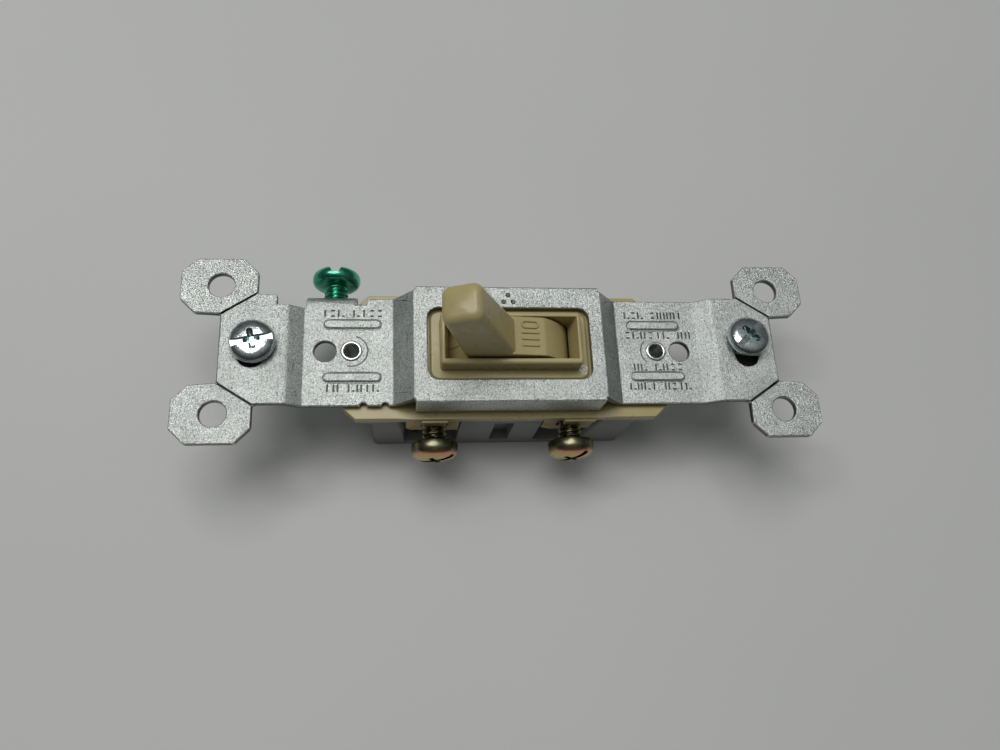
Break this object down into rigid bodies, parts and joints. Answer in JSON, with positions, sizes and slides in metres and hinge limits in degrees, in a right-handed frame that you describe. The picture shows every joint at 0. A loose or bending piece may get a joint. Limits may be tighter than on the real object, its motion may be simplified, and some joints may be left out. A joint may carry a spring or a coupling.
{
  "type": "toggle wall switch",
  "caption": "Single-pole toggle wall switch on a bent steel strap with break-off ears, side terminal screws, push-in wire holes and a grounding screw.",
  "frame": {"origin": "centre of the housing's flat rear face", "axes": "+Z out of the wall, through the handle; +X along the strap, towards the ON end; +Y away from the side with the terminal screws"},
  "size_m": [0.1068, 0.0337, 0.0401],
  "materials": {
    "zinc_steel": "zinc plated, fine grain",
    "rivet_steel": "zinc plated",
    "ivory_plastic": "satin moulded",
    "dark_plastic": "matte moulded",
    "cradle_plastic": "matte moulded",
    "brass": "stamped",
    "yellow_chromate": "iridescent yellow chromate",
    "green_finish": "clear green dye over zinc",
    "zinc_screw": "bright zinc",
    "spring_steel": "plain",
    "silver_contact": "silver alloy",
    "black_fibre": "pressed fibre"
  },
  "bodies": {
    "housing": {"strap": "zinc_steel", "cover": "ivory_plastic", "base": "dark_plastic", "rivet_left": "rivet_steel", "rivet_right": "rivet_steel", "load_terminal": "brass", "line_terminal": "brass", "fixed_contact": "silver_contact", "load_wire_clamp": "spring_steel", "line_wire_clamp": "spring_steel"},
    "handle": {"toggle": "ivory_plastic", "toggle_spring": "spring_steel"},
    "plunger": {"spring_plunger": "spring_steel"},
    "rocker": {"rocker_cradle": "cradle_plastic", "contact_arm": "brass", "moving_contact": "silver_contact"},
    "load_terminal_screw": {"load_screw": "yellow_chromate"},
    "line_terminal_screw": {"line_screw": "yellow_chromate"},
    "ground_terminal_screw": {"ground_screw": "green_finish"},
    "left_retainer": {"screw_retainer_left": "black_fibre"},
    "left_box_screw": {"mounting_screw_left": "zinc_screw"},
    "right_retainer": {"screw_retainer_right": "black_fibre"},
    "right_box_screw": {"mounting_screw_right": "zinc_screw"}
  },
  "joints": [
    {"name": "handle_swing", "type": "hinge", "parent": "housing", "child": "handle", "pos_m": [0, 0, 0.0164], "axis": [0, 1, 0], "range_deg": [0, 45]},
    {"name": "plunger_slide", "type": "slide", "parent": "handle", "child": "plunger", "axis": [-0.3827, 0, 0.9239], "range_m": [0, 0.0006], "deforming": ["toggle_spring"]},
    {"name": "rocker_tip", "type": "hinge", "parent": "housing", "child": "rocker", "pos_m": [0, 0, 0.0059], "axis": [0, 1, 0], "range_deg": [-16, 0]},
    {"name": "load_screw_turn", "type": "hinge", "parent": "housing", "child": "load_terminal_screw", "pos_m": [-0.0122, -0.0141, 0.0122], "axis": [0, -1, 0], "continuous": true},
    {"name": "line_screw_turn", "type": "hinge", "parent": "housing", "child": "line_terminal_screw", "pos_m": [0.0112, -0.0141, 0.0122], "axis": [0, -1, 0], "continuous": true},
    {"name": "ground_screw_turn", "type": "hinge", "parent": "housing", "child": "ground_terminal_screw", "pos_m": [-0.0289, 0.0137, 0.014], "axis": [0, 1, 0], "continuous": true},
    {"name": "left_retainer_slide", "type": "slide", "parent": "housing", "child": "left_retainer", "axis": [0, 1, 0], "range_m": [-0.0018, 0.0006]},
    {"name": "left_box_screw_turn", "type": "hinge", "parent": "left_retainer", "child": "left_box_screw", "pos_m": [-0.0413, 0.0006, 0.02117], "axis": [0, 0, 1], "continuous": true},
    {"name": "right_retainer_slide", "type": "slide", "parent": "housing", "child": "right_retainer", "axis": [0, 1, 0], "range_m": [-0.0026, 0.0001]},
    {"name": "right_box_screw_turn", "type": "hinge", "parent": "right_retainer", "child": "right_box_screw", "pos_m": [0.04155, 0.0014, 0.02167], "axis": [0, 0.0998, 0.995], "continuous": true}
  ],
  "couplings": [
    {"joint": "rocker_tip", "follows": "handle_swing", "ratio": -0.3555}
  ]
}
